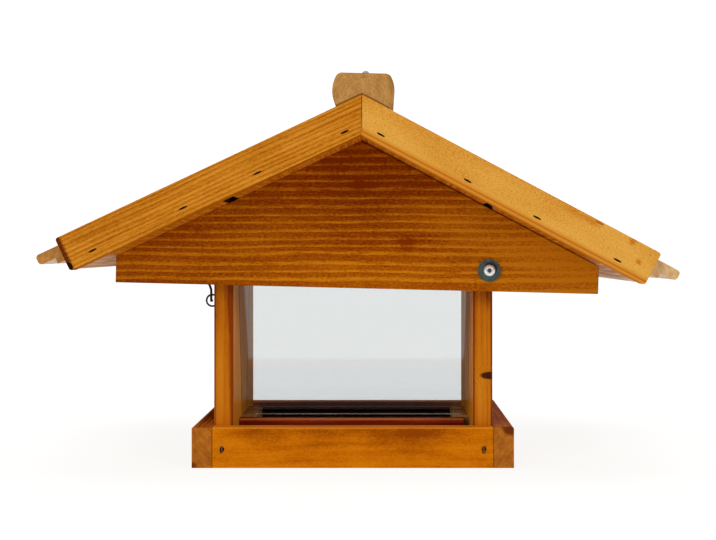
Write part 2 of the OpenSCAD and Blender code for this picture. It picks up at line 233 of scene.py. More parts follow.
room = bpy.data.worlds.new("studio")
bpy.context.scene.world = room
room.use_nodes = True
tree = room.node_tree
behind_house = source(tree, "TexCoord", "Generated").vector("DOT_PRODUCT", (0, 1, 0))
mirrored = source(tree, "LightPath", "Is Glossy Ray")
shown = 1 - mirrored * (1 - behind_house.rise(*DIM_SIDE)) * (1 - DIM_ROOM)
seen = seen_directly(tree)
strength = seen * shown * PAPER_LIGHT + (1 - seen) * ROOM_LIGHT
fill(tree.nodes["Background"], {"Color": PAPER_WHITE, "Strength": strength})


def soft_lamp(name, place, target, size, watts):
    """A square soft box that faces its target."""
    light = bpy.data.lights.new(name, "AREA")
    light.shape = "SQUARE"
    light.size = size
    light.energy = watts
    lamp = stand(name, light)
    lamp.location = place
    lamp.rotation_euler = (Vector(target) - Vector(place)).to_track_quat("-Z", "Y").to_euler()
    lamp.visible_camera = False
    lamp.visible_glossy = False


soft_lamp("left_soft_box", place=(-1.5, -2.2, 1.5), target=LAMP_TARGET, size=1.4, watts=25)
soft_lamp("right_soft_box", place=(1.7, -2.2, 1.3), target=LAMP_TARGET, size=1.4, watts=22)
soft_lamp("top_soft_box", place=(0, -0.2, 2.2), target=TOP_TARGET, size=1.6, watts=20)


# ---- Side walls ----
# Two upright softwood boards with rounded edges, their grain running up. Each has two leaning
# saw cuts for the panes, a bevelled top that carries the roof, and a barer inner side.


def colour(red, green, blue):
    """A colour as on screen, given from 0 to 255, as light."""
    parts = [part / 255 for part in (red, green, blue)]
    return (*(p / 12.92 if p <= 0.04045 else ((p + 0.055) / 1.055) ** 2.4 for p in parts), 1)


RUBBED = 0.7 * MM
SHORTEST_RUBBED = 8 * MM
WELD = 0.002 * MM
ONE_PLANE = math.radians(0.5)
SHARP_EDGE = math.radians(25)
SHADE_BREAK = math.radians(50)
GRAIN_UP = (0, 0, 1)
DEEP = Vector((0, 1, 0))
ACROSS = (1, 0, 0)
DOWN = (0, 0, -1)
WALL_FRONT = -102
WALL_TONES = (colour(214, 134, 26), colour(197, 110, 6), colour(140, 58, 2))
WALL_ENDS = (colour(176, 110, 44), colour(118, 62, 16))
KNOT_WOOD = colour(66, 24, 4)
# Dark brown for torn wood and dark joints, also used as painted shade on the rails' inner sides, in
# the screw recess and round the screw head on the washer.
TORN_WOOD_AND_SHADE = colour(34, 15, 5)
BARE_INSIDE = (colour(252, 178, 58), colour(208, 106, 14))
SEAM_W = 0.9
SEAT_SHADE_W = 2.0
COAT_ROUGH = 0.22
RELIEF = {"Strength": 0.35, "Distance": 0.25 * MM}
SEED_STEPS = (317, 41, 23)

# Lumps of noise in the wood: their length along the grain and girth, in mm, and their detail.
SWAY_LUMPS = (130, 60, 1.0)
YEAR_LUMPS = (45, 7, 2.0)
CLOUD_LUMPS = (75, 24, 3.0)
STREAK_LUMPS = (80, 1.3, 2.0)
PORE_LUMPS = (1.1, 1.1, 3.0)
BLOT_LUMPS = (3.5, 6.0, 2.0)
RAGGED_LUMPS = (1.5, 1.5, 2.0)
BREAK_GIRTH = 3.0

# Where masks start and end: shares of a year or of a reach, and how squarely a face looks
# along the grain, at an edge or out of the board.
RING_END = (1.0, 0.88)
KNOT_PUSH = (2.6, 0.0)
KNOT_EDGE = (1.15, 0.6)
DARK_SPOT_EDGE = (1.0, 0.8)
FACES_END = (0.5, 0.8)
FACES_EDGE = (0.05, 0.4)
RIM_START, RIM_STOP = (0.05, 0.3), (0.995, 0.93)
BEVEL_START, BEVEL_STOP = (-0.2, -0.4), (-0.95, -0.85)
POOL_AND_SHADE_END = (0.1, 0.9)
PARALLEL = 0.01


def worn_board(node, rubbed, corners):
    """A copy of a packed board with its long sharp edges rubbed round, to stand for it. Its
    corners are rounded by the first number where they stand further out than the second."""
    board = bmesh.new()
    board.from_mesh(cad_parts[node].data)
    bmesh.ops.remove_doubles(board, verts=board.verts, dist=WELD)
    bmesh.ops.dissolve_limit(board, angle_limit=ONE_PLANE, verts=board.verts, edges=board.edges)

    def long_edges():
        return [
            edge for edge in board.edges
            if edge.is_manifold and edge.is_convex and edge.calc_length() > SHORTEST_RUBBED
        ]

    def ease(edges, offset, segments):
        bmesh.ops.bevel(
            board, geom=edges, offset=offset, segments=segments, profile=0.5, affect="EDGES",
            clamp_overlap=True,
        )

    eased, far_out = corners
    if eased:
        outer = [
            edge for edge in long_edges()
            if min(abs(vertex.co.x) for vertex in edge.verts) > far_out
            and (edge.verts[0].co - edge.verts[1].co).normalized().cross(DEEP).length < PARALLEL
        ]
        ease(outer, eased, segments=4)
    sharp = [edge for edge in long_edges() if edge.calc_face_angle() > SHARP_EDGE]
    ease(sharp, rubbed, segments=2)
    mesh = bpy.data.meshes.new(node + "_worn")
    board.to_mesh(mesh)
    board.free()
    mesh.polygons.foreach_set("use_smooth", [True] * len(mesh.polygons))
    mesh.set_sharp_from_angle(angle=SHADE_BREAK)
    worn = stand(node + "_worn", mesh)
    even = worn.modifiers.new("even_light", "WEIGHTED_NORMAL")
    even.keep_sharp = True
    return worn


def dress(node, body, finish, rubbed=RUBBED, corners=(0, 0)):
    """Stands a worn copy in a packed board's place, in its finish."""
    worn = worn_board(node, rubbed, corners)
    worn.data.materials.append(finish)
    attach(worn, body)
    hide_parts(node)


def stained_softwood(
    name, node, grain, width, heart, ring, tones, cut, pale_share, contrast, speckle, streaks,
    clouds, seed, uneven=1.0, speck=(5.0, 0.75), broken=(30, 0.7), sway=4.0, drift=0.0,
    knots=(), knot_tone=KNOT_WOOD, pools_and_shading=(), dark_spots=(), ragged=2.2, edges=(0.0, 0.0), bands=(),
    rim=0.0, end_rings=0.2, bare=None, paler_and_lit=(), groove=None, seat_shade=(), roughness=0.6, shine=0.1,
):
    """Softwood sawn from a log whose heart lies this far, in mm, from the board's middle across
    its width and its thickness. The soft spring wood soaks up the stain and the hard rings stay
    gold: the tones are gold, stained and soaked. Knots, patches of stain, of painted shade and
    of painted light, and dark spots lie at places in mm, with reaches along the grain, across
    the width and through the board; the dark spots are where the wood tore, and on the rails'
    inner sides painted shade. The two edges along the grain take more or less stain. A band lies
    square to a direction, this far out and this wide in mm, and has its own colour. On the tray
    boards and rails, the lighter top edge and the band along it are a painted highlight. The bare
    side faces a direction, more or less squarely, and may turn lighter far out, which on the
    planks' eaves is painted light. A line of painted shade lies where the piece rests on planes,
    each a direction and how far out."""
    finish, tree, skin = new_finish(name)
    gold, stain, soaked = tones
    low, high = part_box(node)
    middle = (low + high) / 2 / MM
    grain, width = Vector(grain).normalized(), Vector(width).normalized()
    axes = (grain, width, grain.cross(width))
    facing, place = (source(tree, "TexCoord", kind) for kind in ("Normal", "Object"))
    place = place.vector("MULTIPLY_ADD", (1 / MM,) * 3, -middle)
    u, v, w = (place.vector("DOT_PRODUCT", axis) for axis in axes)
    facing_u, facing_v, facing_w = (facing.vector("DOT_PRODUCT", axis) for axis in axes)
    board = u.node("CombineXYZ", {}, {0: u, 1: v, 2: w})
    wood = board.vector("ADD", [seed * step for step in SEED_STEPS])

    def lumps(length, girth, detail):
        """Noise of 0 to 1 whose lumps are this long along the grain and this thick."""
        drawn_out = wood.vector("MULTIPLY", (1 / length, 1 / girth, 1 / girth))
        return wood.node("TexNoise", {}, {"Vector": drawn_out, "Scale": 1.0, "Detail": detail})

    def away(spot, reaches):
        """Distance from a spot, where 1 is the edge of its reaches."""
        centre = [(Vector(spot) - middle).dot(axis) for axis in axes]
        return board.vector("SUBTRACT", centre).vector("DIVIDE", reaches).vector("LENGTH")

    def beyond(way, out):
        """Distance in mm past a plane that lies this far out along a direction."""
        return place.vector("DOT_PRODUCT", way) + (middle.dot(Vector(way)) - out)

    # The rings: distance from the heart, swayed along the board and pushed round the knots.
    across = v + (lumps(*SWAY_LUMPS) - 0.5) * (2 * sway) - u * drift - heart[0]
    through = w - heart[1]
    reach = (across * across + through * through) ** 0.5
    knotty = 0.0
    for spot, reaches in knots:
        off = away(spot, reaches)
        reach = reach + off.rise(*KNOT_PUSH) * (0.8 * max(reaches[1:]))
        knotty = off.rise(*KNOT_EDGE) + knotty
    years = reach / ring + (lumps(*YEAR_LUMPS) - 0.5) * (0.3 * uneven)
    widths = reach.node("TexNoise", {"noise_dimensions": "1D"}, {"W": reach, "Scale": 0.4 / ring})
    years = years + (widths - 0.5) * uneven
    year = years.math("FRACT", years)
    hard = year.rise(1 - pale_share * 1.9, 1 - pale_share * 0.6) * year.rise(*RING_END)
    break_length, break_depth = broken
    hard = hard * (1 + (lumps(break_length, BREAK_GIRTH, 2.0) - 0.5) * break_depth)

    # How deep the stain went in, from 0 on the gold rings to 1 where it soaked, with the painted
    # shade and painted light of the patches added.
    dashes = lumps(*speck, 3.0)
    lines = lumps(*STREAK_LUMPS)
    pooled_and_shaded = 0.0
    for spot, reaches, more in pools_and_shading:
        pooled_and_shaded = away(spot, reaches).rise(1.0, 0.0) * more + pooled_and_shaded
    soak_and_shade = (
        0.5 + (0.4 - hard) * contrast + (dashes - 0.5) * (2 * speckle)
        + (lines - 0.5) * (2 * streaks) + (lumps(*CLOUD_LUMPS) - 0.5) * (2 * clouds) + pooled_and_shaded
    )
    for side, more in zip((1, -1), edges):
        if more:
            on_edge = (facing_v * side).rise(*FACES_EDGE) * abs(facing_w).rise(*FACES_EDGE)
            soak_and_shade = soak_and_shade + on_edge * more
    tone = soak_and_shade.node(
        "ValToRGB", {"stops": [(0.0, gold), (0.5, stain), (1.0, soaked)]}, {"Fac": soak_and_shade}
    )
    if knots:
        tone = (knotty * (1.0 + (dashes - 0.5) * 0.8)).rise(0.0, 1.0).paint(tone, knot_tone)
    if bare is not None:
        bare_way, bare_tones, squarely = bare
        grained = 0.5 + (0.5 - hard) * 0.4 + (dashes - 0.5) * 0.5 + (lines - 0.5) * 2.4
        bare_tone = grained.paint(*bare_tones)
        for start, full, pale_tones in paler_and_lit:
            far_out = abs(beyond(ACROSS, 0)).rise(start, full)
            bare_tone = far_out.paint(bare_tone, grained.paint(*pale_tones))
        turned = facing.vector("DOT_PRODUCT", bare_way)
        tone = turned.rise(squarely - 0.15, squarely + 0.05).paint(tone, bare_tone)
    # The V bevels of a groove take the colour given: painted shade on most planks, painted light on
    # the lower right one.
    if groove is not None:
        bevelled = facing_w.rise(*BEVEL_START) * facing_w.rise(*BEVEL_STOP)
        tone = bevelled.paint(tone, groove)

    # Sawn ends show the ring ends, darker than the faces and pricked with fine pores.
    sawn = abs(facing_u).rise(*FACES_END)
    pores = lumps(*PORE_LUMPS)
    blots = lumps(*BLOT_LUMPS)
    end_tone = hard * end_rings + (pores - 0.5) * 0.9 + (blots - 0.5) * 1.1 + 0.45 - pooled_and_shaded
    tone = sawn.paint(tone, end_tone.paint(*cut))
    if pools_and_shading:
        tone = (sawn * pooled_and_shaded.rise(*POOL_AND_SHADE_END) * 0.85).paint(tone, soaked)

    # Seams and other bands, rims, a line of painted shade where the piece rests, and dark spots lie
    # over all that.
    for way, out, reach_out, amount, band_tone in bands:
        wavy = abs(beyond(way, out)) + (dashes - 0.5) * (reach_out * 0.8)
        tone = (wavy.rise(reach_out, reach_out / 2) * amount).paint(tone, band_tone)
    if rim:
        rounded = abs(facing_u).rise(*RIM_START) * abs(facing_u).rise(*RIM_STOP)
        tone = (rounded * rim).paint(tone, soaked)
    if seat_shade:
        first, second = (beyond(way, out) for way, out in seat_shade)
        above = first.math("MAXIMUM", first, second)
        tone = (above.rise(SEAT_SHADE_W, SEAT_SHADE_W / 3) * 0.8).paint(tone, soaked)
    ragged_noise = (lumps(*RAGGED_LUMPS) - 0.5) * ragged
    for spot, reaches in dark_spots:
        tone = (away(spot, reaches) + ragged_noise).rise(*DARK_SPOT_EDGE).paint(tone, TORN_WOOD_AND_SHADE)

    rough = roughness + (dashes - 0.5) * 0.25 - hard * 0.06 + sawn * 0.2
    relief = hard * 0.5 + dashes * 0.5 + lines * 0.4 + sawn * pores * 0.8
    bump = relief.node("Bump", {}, {**RELIEF, "Height": relief})
    fill(skin, {
        "Base Color": tone, "Roughness": rough, "Normal": bump,
        "Specular IOR Level": 0.0, "Coat Weight": shine, "Coat Roughness": COAT_ROUGH,
    })
    return finish


# The patches along each wall's inner front edge, along the right wall's outer edge and high under
# the roof are painted shade; those with a negative amount, lower down, are painted light.
for side, name, knot, pools_and_shading in (
    (-1, "side_wall_left", ((-108, 20, 60), (9, 6, 12)), [
        ((-109, WALL_FRONT, 110), (190, 9, 6.5), 1.3), ((-122, WALL_FRONT, 90), (60, 9, 6), -0.25),
        ((-110.5, WALL_FRONT, 156), (50, 9, 8), 0.9),
    ]),
    (1, "side_wall_right", ((126, WALL_FRONT, 82), (4.0, 8, 11)), [
        ((109, WALL_FRONT, 110), (190, 7, 3.5), 0.6), ((128.5, WALL_FRONT, 132), (52, 8, 4.5), 1.2),
        ((117, WALL_FRONT, 60), (40, 9, 7), -0.25), ((124, WALL_FRONT, 158), (22, 9, 7), 0.4),
    ]),
):
    wall_finish = stained_softwood(
        name + "_stain", name, GRAIN_UP, DEEP, heart=(-60 * side, 60), ring=3.6,
        tones=WALL_TONES, cut=WALL_ENDS,
        pale_share=0.5, contrast=0.2, speckle=0.2, streaks=0.2, clouds=0.35, edges=(0.4, 0.4),
        sway=2, seed=1 + side * 0.4, knots=[knot], pools_and_shading=pools_and_shading,
        bare=((-side, 0, 0), BARE_INSIDE, 0.94), roughness=0.5, shine=0.1,
    )
    dress(name, "base", wall_finish)


# ---- Tray ----
# Four boards stapled round the feet of the walls, with eased upper edges. The front and back
# boards run the whole width, and the side boards show their end grain beside them.

TRAY_FRONT = -120
TRAY_TOP = 36.4
TRAY_JOINT = 127.5
TRAY_TONES = (colour(232, 146, 18), colour(211, 117, 2), colour(150, 68, 0))
TRAY_ENDS = (colour(146, 78, 14), colour(206, 126, 44))
TRAY_SIDE_TONES = (colour(214, 132, 54), colour(186, 104, 34), colour(104, 44, 8))
# A painted highlight along the tray boards' top edges.
TRAY_TOP_HIGHLIGHT = colour(236, 160, 56)
STAPLE_X = 118.5
STAPLE_Z = 16.6
TRAY_SCAR = (2.0, 3.4, 3.0)
for name, face_y, heart, seed, pools_and_shading in (
    ("tray_front_board", TRAY_FRONT, (16, 30), 3.1, [
        ((30, TRAY_FRONT, 33), (150, 15, 9), 0.45), ((-95, TRAY_FRONT, 34), (60, 8, 9), 0.2),
        ((0, TRAY_FRONT, 0), (170, 16, 9), -0.3), ((-60, TRAY_FRONT, 12), (50, 7, 9), -0.2),
        ((-10, TRAY_FRONT, 22), (60, 5, 9), 0.25), ((85, TRAY_FRONT, 10), (40, 4, 9), 0.2),
    ]),
    ("tray_back_board", -TRAY_FRONT, (-40, 34), 4.7, [
        ((0, -WALL_FRONT, 26), (170, 30, 9), 1.3),
    ]),
):
    # The lighter top edge, from the first edge number and the pale band along the top, is a painted
    # highlight; the back board's patch on its inner face is painted shade.
    board_finish = stained_softwood(
        name + "_stain", name, ACROSS, GRAIN_UP, heart=heart, ring=5.0,
        tones=TRAY_TONES, cut=TRAY_ENDS,
        pale_share=0.45, contrast=0.09, speckle=0.34, speck=(2.6, 1.4), streaks=0.12,
        clouds=0.7, edges=(-0.5, 0.5), bands=[
            (GRAIN_UP, TRAY_TOP, SEAM_W, 0.35, TRAY_TOP_HIGHLIGHT),
            (ACROSS, -TRAY_JOINT, SEAM_W, 0.8, TORN_WOOD_AND_SHADE),
            (ACROSS, TRAY_JOINT, SEAM_W, 0.8, TORN_WOOD_AND_SHADE),
        ],
        sway=7, drift=0.02, seed=seed, pools_and_shading=pools_and_shading, shine=0.05,
        dark_spots=[((side * STAPLE_X, face_y, STAPLE_Z), TRAY_SCAR) for side in (-1, 1)],
    )
    dress(name, "base", board_finish)
for name, heart, seed, pools_and_shading, shine in (
    ("tray_side_board_left", (40, 45), 5.3, [
        ((-146, TRAY_FRONT, 2), (7, 6, 8), 0.9), ((-136, 0, 36), (130, 20, 20), 0.5),
    ], 0.0),
    ("tray_side_board_right", (-34, 40), 6.9, [((143, TRAY_FRONT, 36), (9, 9, 11), 1.6)], 0.04),
):
    board_finish = stained_softwood(
        name + "_stain", name, DEEP, GRAIN_UP, heart=heart, ring=4.4,
        tones=TRAY_SIDE_TONES, cut=TRAY_ENDS,
        pale_share=0.4, contrast=0.2, speckle=0.3, streaks=0.2, clouds=0.35,
        seed=seed, pools_and_shading=pools_and_shading, end_rings=0.12, shine=shine,
    )
    dress(name, "base", board_finish)


# ---- Floor and trough ----
# A floor board inside the tray, and on it the seed trough: two rails and two end blocks. The
# rails are soaked dark red, and the blocks are bare wood gone taupe. The floor board's near-black
# tones and the dark spots on the rails' inner sides are painted shade inside the trough, and the
# rails' lighter top edges are a painted highlight.

RAIL_TONES = (colour(176, 64, 14), colour(138, 38, 6), colour(74, 14, 1))
RAIL_ENDS = (colour(60, 24, 8), colour(96, 44, 18))
# A painted highlight along the rails' top edges.
RAIL_TOP_HIGHLIGHT = colour(196, 138, 84)
RAIL_TOP = 36.0
RAIL_HIGHLIGHT_W = 1.1
RAIL_SHADE_Z = 26
RAIL_SHADE_REACH = (150, 34, 4)
# Near-black tones: painted shade for the dim inside of the trough.
FLOOR_BOARD_SHADE_TONES = (colour(104, 44, 14), colour(72, 26, 8), colour(36, 10, 3))
BLOCK_TONES = (colour(204, 156, 84), colour(184, 134, 62), colour(110, 74, 32))
BLOCK_ENDS = (colour(100, 66, 34), colour(150, 108, 64))
for name, tones, seed, shade_y in (
    ("floor_board", FLOOR_BOARD_SHADE_TONES, 8.2, None),
    ("trough_rail_front", RAIL_TONES, 9.4, -42),
    ("trough_rail_back", RAIL_TONES, 10.6, 42),
):
    # Painted shade on each rail's inner side, where the trough is dim.
    shade_inside = [((0, shade_y, RAIL_SHADE_Z), RAIL_SHADE_REACH)] if shade_y else ()
    # The lighter top edge, from the first edge number and the pale band, is a painted highlight.
    rail_finish = stained_softwood(
        name + "_stain", name, ACROSS, GRAIN_UP, heart=(18, 22), ring=3.2,
        tones=tones, cut=RAIL_ENDS,
        pale_share=0.35, contrast=0.35, speckle=0.2, streaks=0.3, clouds=0.3,
        edges=(-0.9, 0.4), bands=[(GRAIN_UP, RAIL_TOP, RAIL_HIGHLIGHT_W, 0.6, RAIL_TOP_HIGHLIGHT)],
        seed=seed, dark_spots=shade_inside, ragged=0.3, shine=0.04,
    )
    dress(name, "base", rail_finish)
for name, seed in (("trough_block_left", 11.5), ("trough_block_right", 12.1)):
    block_finish = stained_softwood(
        name + "_grey", name, DEEP, ACROSS, heart=(14, -16), ring=2.8,
        tones=BLOCK_TONES, cut=BLOCK_ENDS,
        pale_share=0.4, contrast=0.4, speckle=0.3, streaks=0.4, clouds=0.4,
        seed=seed, roughness=0.75, shine=0.03,
    )
    dress(name, "base", block_finish)


# ---- Panes ----
# Two clear acrylic sheets that stand in the walls' saw cuts and lean apart towards the top, so
# that seed slides down between them. They tint what is behind them and mirror what is before
# them, a little of each.

PANE_TINT = colour(246.6, 247.9, 248.4)
PANE_BEND = 1.6
PANE_GLEAM = colour(255, 252, 246)
PANE_MIRROR = 0.2
PANE_LEAN = math.radians(14.6)
PANE_EDGE = (0.8, 0.5)
PANE_POLISH = 0.04
PANE_RUBBED = 0.2 * MM
# Each sheet's cut edges get a pale tone, partly opaque, as a painted glint along them.
for name, glint_share, edge_glint in (
    ("pane_front", 0.34, colour(160, 126, 118)), ("pane_back", 0.9, colour(255, 220, 200)),
):
    acrylic, tree, gloss = new_finish(name + "_acrylic")
    low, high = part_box(name)
    outward = 1 if (low + high).y > 0 else -1
    sheet_way = (0, math.cos(PANE_LEAN), -outward * math.sin(PANE_LEAN))
    facing = source(tree, "TexCoord", "Normal")
    edge = abs(facing.vector("DOT_PRODUCT", sheet_way)).rise(*PANE_EDGE)
    mirror = facing.node("Fresnel", {}, {"IOR": PANE_BEND})
    shown = mirror.math("MINIMUM", mirror, PANE_MIRROR) + edge * glint_share
    fill(gloss, {
        "Base Color": edge.paint(PANE_GLEAM, edge_glint), "Metallic": 1 - edge,
        "Roughness": PANE_POLISH, "Specular IOR Level": 1.0,
    })
    clear = tree.nodes.new("ShaderNodeBsdfTransparent")
    fill(clear, {"Color": PANE_TINT})
    show(tree, blend(shown, clear, gloss))
    dress(name, "base", acrylic, rubbed=PANE_RUBBED)


# ---- Fastenings of the tray and the hinge ----
# Dull steel staples driven just under the face of the wood, zinc-plated pan head screws with a
# cross recess, and dark bluish washers under them.

CLOUD_SCALE = 0.25 / MM
PIT_SCALE = 2.2 / MM
PIT_DEPTH = 0.05 * MM
TARNISH = (0.35, 0.85)


def plated_metal(name, bright, dull, roughness, metallic, shine=0.5, shade_spot=None):
    """Plated wire or sheet: cloudy in tone and in polish, with fine pits. A spot of painted shade,
    such as in a screw's recess or round the foot of its head, lies at its middle across and above,
    with its reach, in mm."""
    finish, tree, skin = new_finish(name)
    place = source(tree, "TexCoord", "Object")
    clouds = place.node("TexNoise", {}, {"Vector": place, "Scale": CLOUD_SCALE, "Detail": 3.0})
    pits = place.node("TexNoise", {}, {"Vector": place, "Scale": PIT_SCALE, "Detail": 2.0})
    tone = (clouds * 0.7 + pits * 0.5).rise(*TARNISH).paint(dull, bright)
    if shade_spot is not None:
        (across, above), radius = shade_spot
        flat = place.vector("MULTIPLY", (1 / MM, 0, 1 / MM)).vector("SUBTRACT", (across, 0, above))
        shaded = (flat.vector("LENGTH") + (pits - 0.5) * 1.4).rise(radius, radius * 0.8)
        tone = (shaded * 0.9).paint(tone, TORN_WOOD_AND_SHADE)
    rough = roughness + (clouds - 0.5) * 0.3 + (pits - 0.5) * 0.15
    bump = pits.node("Bump", {}, {"Strength": 0.15, "Distance": PIT_DEPTH, "Height": pits})
    fill(skin, {
        "Base Color": tone, "Roughness": rough, "Normal": bump,
        "Metallic": metallic, "Specular IOR Level": shine,
    })
    return finish


def clad(node, finish):
    """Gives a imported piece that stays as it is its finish."""
    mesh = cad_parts[node].data
    mesh.materials.clear()
    mesh.materials.append(finish)


HINGE_X = 123
HINGE_Z = 178.4
# Painted shade in the screw's cross recess, and round the foot of its head on the washer, heavier
# towards the upper right.
RECESS_SHADE_R = 2.2
HEAD_SHADE_X = HINGE_X + 1.5
HEAD_SHADE_Z = HINGE_Z + 2
HEAD_SHADE_R = 6.6
tray_staple_finish = plated_metal(
    "tray_staple_wire", colour(150, 116, 84), colour(30, 18, 9), roughness=0.5, metallic=0.3
)
staple_finish = plated_metal(
    "staple_wire", colour(30, 20, 12), colour(8, 5, 3), roughness=0.8, metallic=0.0, shine=0.1
)
zinc = plated_metal(
    "zinc_plate", colour(196, 196, 194), colour(112, 112, 110), roughness=0.28, metallic=0.8
)
screw_finish = plated_metal(
    "screw_plate", colour(255, 255, 255), colour(236, 238, 236), roughness=0.26, metallic=0.6,
    shade_spot=((HINGE_X, HINGE_Z), RECESS_SHADE_R),
)
washer_finish = plated_metal(
    "washer_plate", colour(84, 102, 92), colour(34, 62, 68), roughness=0.45, metallic=0.2,
    shade_spot=((HEAD_SHADE_X, HEAD_SHADE_Z), HEAD_SHADE_R),
)
clad("tray_staples", tray_staple_finish)
clad("hinge_screws", screw_finish)
clad("hinge_washers", washer_finish)


# ---- Gables ----
# A wide board under each end of the roof, grain running across, with wide spring wood bands
# that drank the stain and narrow gold lines. The hinge screw passes through its right end.

TILT = math.radians(1.4)
LEVEL = (math.cos(TILT), 0, -math.sin(TILT))
UPRIGHT = (math.sin(TILT), 0, math.cos(TILT))
GABLE_FRONT = -121.5
GABLE_TONES = (colour(208, 126, 16), colour(174, 91, 3), colour(136, 52, 0))
GABLE_ENDS = (colour(70, 36, 14), colour(132, 82, 40))
for name, face_y, seed in (("gable_front", GABLE_FRONT, 14.3), ("gable_back", -GABLE_FRONT, 15.8)):
    gable_finish = stained_softwood(
        name + "_stain", name, LEVEL, UPRIGHT, heart=(420, 60), ring=7.4,
        tones=GABLE_TONES, cut=GABLE_ENDS,
        pale_share=0.3, contrast=0.54, uneven=0.9, speckle=0.8, speck=(2.8, 1.1),
        streaks=0.25, clouds=0.35, sway=2.8, drift=0.024, seed=seed,
        # The patch high in the middle is partly deeper stain and partly painted shade under the
        # roof's overhang, and the one at the lower corner of the left end is painted shade.
        pools_and_shading=[
            ((5, face_y, 275), (190, 75, 40), 0.3), ((49, face_y, 202), (16, 9, 12), 0.4),
            ((150, face_y, 215), (130, 60, 40), -0.3), ((60, face_y, 172), (160, 26, 40), -0.2),
            ((215, face_y, 180), (120, 80, 40), -0.55), ((62, face_y, 208), (40, 4, 12), 0.3),
            ((-130, face_y, 185), (90, 30, 40), -0.15), ((-219, face_y, 164), (9, 14, 9), 0.9),
            ((10, face_y, 256), (22, 8, 12), 0.35), ((70, face_y, 230), (70, 24, 40), -0.2),
        ],
        dark_spots=[((-80, face_y, 162.2), (2.6, 2.2, 4))], ragged=1.0, broken=(15, 2.4), shine=0.05,
    )
    dress(name, "roof", gable_finish)


# ---- Bargeboards ----
# A board along each sloping edge of the roof, stapled to the planks' ends and mitred plumb at
# the ridge. The left ones are fine and straight in the grain, the right ones paler and curly.

PITCH = math.radians(26.565)
left_fall, right_fall = PITCH - TILT, PITCH + TILT
DOWN_LEFT = (-math.cos(left_fall), 0, -math.sin(left_fall))
DOWN_RIGHT = (math.cos(right_fall), 0, -math.sin(right_fall))
SQUARE_LEFT = (-math.sin(left_fall), 0, math.cos(left_fall))
SQUARE_RIGHT = (math.sin(right_fall), 0, math.cos(right_fall))
RIDGE_X = 9.5
BARGE_FRONT = -211.5
BARGE_RUBBED = 1.2 * MM
BARGE_CORNERS = (2.5 * MM, 150 * MM)
MITRE_BAND = (ACROSS, RIDGE_X, SEAM_W / 2, 0.8, TORN_WOOD_AND_SHADE)
BARGE_SCAR = (4.1, 0.95, 3.0)
LEFT_TONES = (colour(212, 138, 44), colour(188, 114, 22), colour(148, 72, 6))
LEFT_ENDS = (colour(112, 66, 24), colour(178, 120, 58))
LEFT_UNDER = (colour(214, 128, 16), colour(150, 72, 4))
END_STAIN = colour(88, 26, 6)
END_STAIN_W = 5.5
RIGHT_TONES = (colour(230, 174, 82), colour(218, 156, 62), colour(192, 110, 24))
RIGHT_ENDS = (colour(122, 74, 28), colour(190, 132, 66))
RIGHT_UNDER = (colour(252, 172, 48), colour(236, 136, 18))
CURLY_KNOT = colour(172, 100, 34)
LOWER_BAND = colour(206, 124, 30)
LOWER_BAND_W = 7.0
LOWER_LINE = colour(170, 84, 12)
LOWER_LINE_UP = 3.0


def piece_middles(node):
    """The middle, in mm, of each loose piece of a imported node."""
    pieces = bmesh.new()
    pieces.from_mesh(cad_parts[node].data)
    bmesh.ops.remove_doubles(pieces, verts=pieces.verts, dist=WELD)
    waiting = set(pieces.verts)
    middles = []
    while waiting:
        found, fresh = set(), {waiting.pop()}
        while fresh:
            found |= fresh
            fresh = {
                edge.other_vert(vertex) for vertex in fresh for edge in vertex.link_edges
            } - found
        waiting -= found
        middles.append(sum((vertex.co for vertex in found), Vector()) / len(found) / MM)
    pieces.free()
    return middles


def extent(node, way):
    """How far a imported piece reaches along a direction, in mm: from and to."""
    places = [vertex.co.dot(Vector(way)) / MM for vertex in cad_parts[node].data.vertices]
    return min(places), max(places)


def staple_scars(face_y, side):
    """Torn spots round the staples of one bargeboard, -1 for the left side and 1 for the right."""
    return [
        ((spot.x, face_y, spot.z), BARGE_SCAR) for spot in barge_staple_middles
        if (spot.x - RIDGE_X) * side > 0 and spot.y * face_y > 0
    ]


barge_staple_middles = piece_middles("bargeboard_staples")
for name, face_y, heart, seed in (
    ("bargeboard_front_left", BARGE_FRONT, (150, 40), 17.2),
    ("bargeboard_back_left", -BARGE_FRONT, (140, 46), 18.9),
):
    _, free_end = extent(name, DOWN_LEFT)
    barge_finish = stained_softwood(
        name + "_stain", name, DOWN_LEFT, SQUARE_LEFT, heart=heart, ring=3.5,
        tones=LEFT_TONES, cut=LEFT_ENDS,
        pale_share=0.5, contrast=0.4, uneven=0.9, speckle=0.55, speck=(3.0, 0.9),
        streaks=0.4, clouds=0.4, broken=(30, 1.6), sway=2, seed=seed, edges=(0.0, 0.35),
        bands=[MITRE_BAND, (DOWN_LEFT, free_end, END_STAIN_W, 0.92, END_STAIN)],
        bare=(DOWN, LEFT_UNDER, 0.7),
        dark_spots=[*staple_scars(face_y, -1), ((-236.5, face_y, 182.6), (3.6, 4.5, 4))],
        ragged=0.2, shine=0.02,
    )
    dress(name, "roof", barge_finish, BARGE_RUBBED, BARGE_CORNERS)
